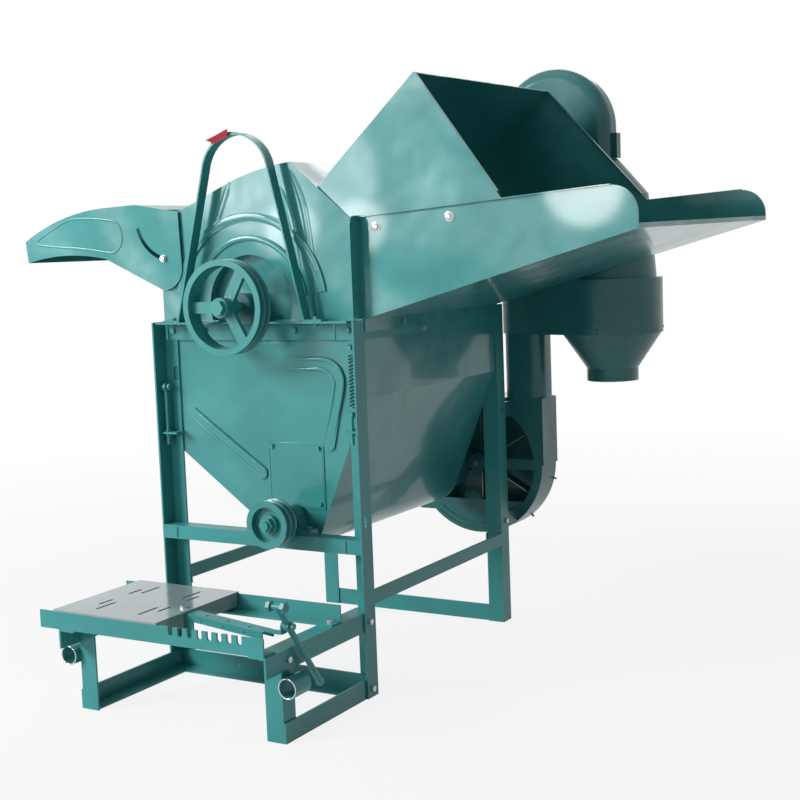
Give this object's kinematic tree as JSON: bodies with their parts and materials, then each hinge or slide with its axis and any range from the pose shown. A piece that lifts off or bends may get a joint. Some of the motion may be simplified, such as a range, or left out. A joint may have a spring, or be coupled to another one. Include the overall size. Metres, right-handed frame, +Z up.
{
  "type": "threshing machine",
  "caption": "Thresher with toothed drum under a hood, feed tray, tilting straw spout, auger, blower, grain separator and motor base.",
  "frame": {"origin": "middle of the outline on the floor", "axes": "+X from the straw spout to the feed tray, +Y from the pulley side to the blower side, +Z up"},
  "size_m": [1.556, 1.234, 1.327],
  "materials": {
    "frame_paint": "gloss enamel",
    "casing_paint": "gloss enamel",
    "hood_paint": "gloss enamel",
    "tray_paint": "gloss enamel",
    "blower_paint": "gloss enamel",
    "spout_paint": "gloss enamel",
    "pulley_paint": "gloss enamel",
    "plate_paint": "worn enamel",
    "bearing_iron": "enamel over cast iron",
    "concave_steel": "bare steel",
    "rotor_steel": "bare steel",
    "shaft_steel": "turned",
    "zinc_bolts": "zinc plated",
    "spring_wire": "drawn wire",
    "red_tape": "woven tape"
  },
  "bodies": {
    "frame": {"front_left_leg": "frame_paint", "front_right_leg": "frame_paint", "rear_left_leg": "frame_paint", "rear_right_leg": "frame_paint", "front_bottom_rail": "frame_paint", "rear_bottom_rail": "frame_paint", "lower_side_rails": "frame_paint", "front_mid_beam": "frame_paint", "front_top_rail": "frame_paint", "rear_top_rail": "frame_paint", "side_top_rails": "frame_paint", "base_side_rails": "frame_paint", "base_feet": "frame_paint", "notched_rail": "frame_paint", "rear_cross_rail": "frame_paint", "pole_sockets": "frame_paint", "body_front_panel": "casing_paint", "body_rear_panel": "casing_paint", "body_left_sheet": "casing_paint", "body_right_sheet": "casing_paint", "auger_trough": "casing_paint", "inspection_cover": "casing_paint", "hood_front_panel": "hood_paint", "hood_rear_panel": "hood_paint", "hood_left_sheet": "hood_paint", "hood_top_sheet": "hood_paint", "hood_slope_sheet": "hood_paint", "tray_floor": "tray_paint", "tray_walls": "tray_paint", "feed_hood_sides": "tray_paint", "feed_hood_roof": "tray_paint", "concave": "concave_steel", "auger_outlet": "blower_paint", "fan_housing": "blower_paint", "fan_brackets": "blower_paint", "riser_duct": "blower_paint", "discharge_elbow": "blower_paint", "cyclone_barrel": "blower_paint", "cyclone_cone": "blower_paint", "guard_hoop": "frame_paint", "bearing_blocks": "bearing_iron", "adjuster_lugs": "frame_paint", "adjusters": "zinc_bolts", "frame_bolts": "zinc_bolts", "tension_spring": "spring_wire", "hoop_ribbon": "red_tape", "spout_hardware": "zinc_bolts"},
    "spout": {"spout_cheeks": "spout_paint", "spout_top": "spout_paint"},
    "drum": {"drum_shaft": "shaft_steel", "drum_rotor": "rotor_steel", "drum_pulley": "pulley_paint"},
    "auger": {"auger_shaft": "shaft_steel", "auger_flight": "concave_steel", "auger_pulley": "pulley_paint"},
    "fan": {"fan_rotor": "rotor_steel"},
    "plate": {"motor_plate": "plate_paint", "arm_pivot": "zinc_bolts"},
    "arm": {"link_arm": "frame_paint"},
    "lever": {"hand_lever": "frame_paint"}
  },
  "joints": [
    {"name": "spout_swing", "type": "hinge", "parent": "frame", "child": "spout", "pos_m": [-0.346, -0.237, 1.005], "axis": [0, -1, 0], "range_deg": [0, 58]},
    {"name": "drum_turn", "type": "hinge", "parent": "frame", "child": "drum", "pos_m": [-0.144, 0.0595, 0.8093], "axis": [0, 1, 0], "continuous": true},
    {"name": "auger_turn", "type": "hinge", "parent": "frame", "child": "auger", "pos_m": [-0.05, 0.0595, 0.3633], "axis": [0, 1, 0], "continuous": true},
    {"name": "fan_turn", "type": "hinge", "parent": "frame", "child": "fan", "pos_m": [0.026, 0.496, 0.375], "axis": [0, 1, 0], "continuous": true},
    {"name": "plate_slide", "type": "slide", "parent": "frame", "child": "plate", "axis": [1, 0, 0], "range_m": [0, 0.1]},
    {"name": "arm_swing", "type": "hinge", "parent": "plate", "child": "arm", "pos_m": [-0.148, -0.505, 0.216], "axis": [0, 0, 1], "range_deg": [-1.5, 11]},
    {"name": "lever_swing", "type": "hinge", "parent": "arm", "child": "lever", "pos_m": [0.146, -0.56075, 0.2285], "axis": [1, 0, 0], "range_deg": [-7, 45]}
  ]
}
